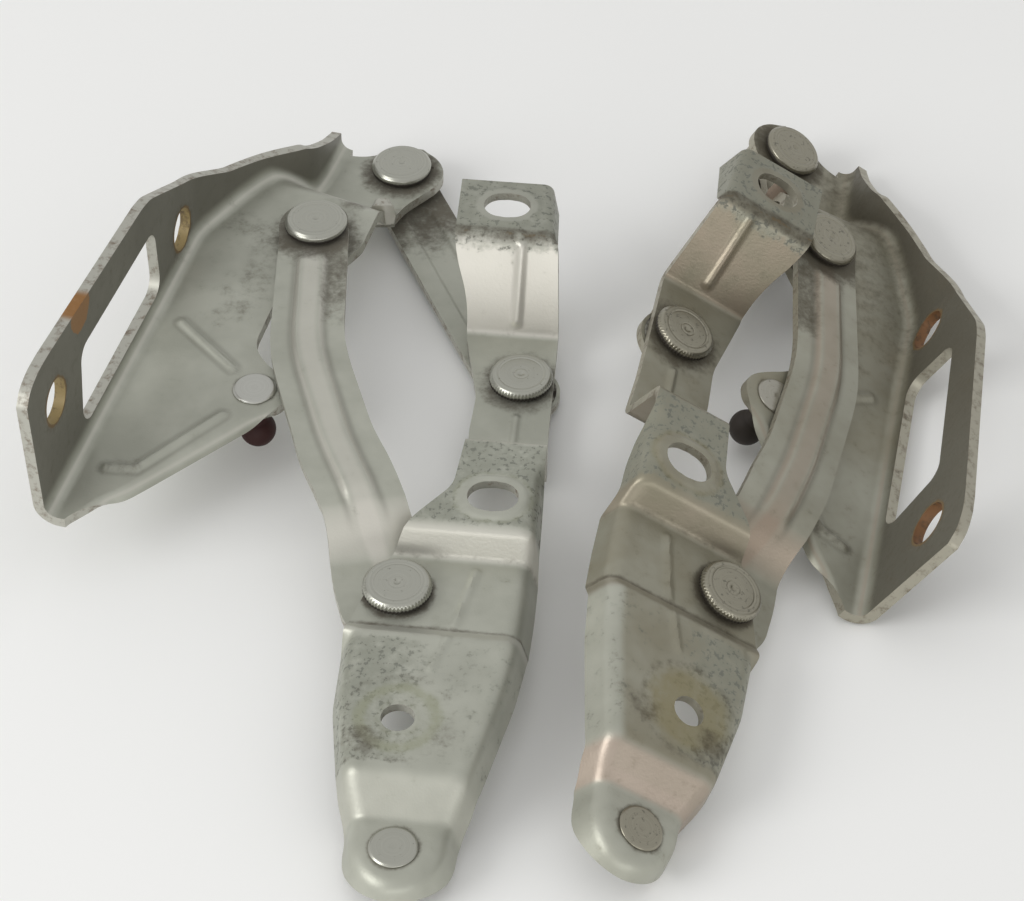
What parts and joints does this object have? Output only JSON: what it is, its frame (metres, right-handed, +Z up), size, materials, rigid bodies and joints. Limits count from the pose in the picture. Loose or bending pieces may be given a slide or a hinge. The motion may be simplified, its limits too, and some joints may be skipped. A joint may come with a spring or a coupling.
{
  "type": "bonnet hinge pair",
  "caption": "Left and right bonnet hinges of pressed steel: slotted bonnet arm carried on a long and a short link from a flanged body bracket, with riveted pivots and ball studs.",
  "frame": {"origin": "middle of the pair on the bench, under the middle of its box", "axes": "+Z up from the bench, +Y from the tongues of the arms towards their rear tabs, +X from the left hinge to the right hinge"},
  "size_m": [0.2542, 0.2884, 0.0658],
  "materials": {
    "coated_sheet": "satin",
    "bright_steel": "satin",
    "bush_bronze": "satin",
    "washer_steel": "satin"
  },
  "bodies": {
    "brackets": {"left_body_bracket": "coated_sheet", "left_ear_rivet": "bright_steel", "left_web_rivet": "bright_steel", "left_ear_washer": "washer_steel", "left_web_washer": "washer_steel", "left_bracket_stud": "bright_steel", "right_body_bracket": "coated_sheet", "right_ear_rivet": "bright_steel", "right_web_rivet": "bright_steel", "right_ear_washer": "washer_steel", "right_web_washer": "washer_steel", "right_bracket_stud": "bright_steel"},
    "left_long": {"left_long_link": "coated_sheet", "left_web_bush": "bush_bronze", "left_seat_bush": "bush_bronze"},
    "left_arm": {"left_bonnet_arm": "coated_sheet", "left_floor_rivet": "bright_steel", "left_seat_rivet": "bright_steel", "left_floor_washer": "washer_steel", "left_seat_washer": "washer_steel", "left_tongue_stud": "bright_steel"},
    "left_short": {"left_short_link": "coated_sheet", "left_ear_bush": "bush_bronze", "left_floor_bush": "bush_bronze"},
    "right_long": {"right_long_link": "coated_sheet", "right_web_bush": "bush_bronze", "right_seat_bush": "bush_bronze"},
    "right_arm": {"right_bonnet_arm": "coated_sheet", "right_floor_rivet": "bright_steel", "right_seat_rivet": "bright_steel", "right_floor_washer": "washer_steel", "right_seat_washer": "washer_steel", "right_tongue_stud": "bright_steel"},
    "right_short": {"right_short_link": "coated_sheet", "right_ear_bush": "bush_bronze", "right_floor_bush": "bush_bronze"}
  },
  "joints": [
    {"name": "left_fold", "type": "hinge", "parent": "brackets", "child": "left_long", "pos_m": [-0.05936, 0.0794, 0.0256], "axis": [0, 0, 1], "range_deg": [-25, 0]},
    {"name": "left_arm_turn", "type": "hinge", "parent": "left_long", "child": "left_arm", "pos_m": [-0.03206, -0.05526, 0.014], "axis": [0, 0, 1], "range_deg": [-0.5, 14.9]},
    {"name": "left_short_turn", "type": "hinge", "parent": "brackets", "child": "left_short", "pos_m": [-0.03648, 0.12632, 0.0034], "axis": [0, 0, 1], "range_deg": [-26.3, 0.5]},
    {"name": "right_fold", "type": "hinge", "parent": "brackets", "child": "right_long", "pos_m": [0.08707, 0.07791, 0.02104], "axis": [-0.4892, 0.1039, -0.866], "range_deg": [0, 75]},
    {"name": "right_arm_turn", "type": "hinge", "parent": "right_long", "child": "right_arm", "pos_m": [0.04984, -0.0546, 0.01277], "axis": [-0.4892, 0.1039, -0.866], "range_deg": [-45.2, 0.5]},
    {"name": "right_short_turn", "type": "hinge", "parent": "brackets", "child": "right_short", "pos_m": [0.07844, 0.13213, 0.00679], "axis": [-0.4892, 0.1039, -0.866], "range_deg": [-0.5, 82.6]}
  ],
  "couplings": [
    {"joint": "left_arm_turn", "follows": "left_fold", "ratio": -0.5771},
    {"joint": "left_short_turn", "follows": "left_fold", "ratio": 1.0325},
    {"joint": "right_arm_turn", "follows": "right_fold", "ratio": -0.5961},
    {"joint": "right_short_turn", "follows": "right_fold", "ratio": 1.0952}
  ]
}
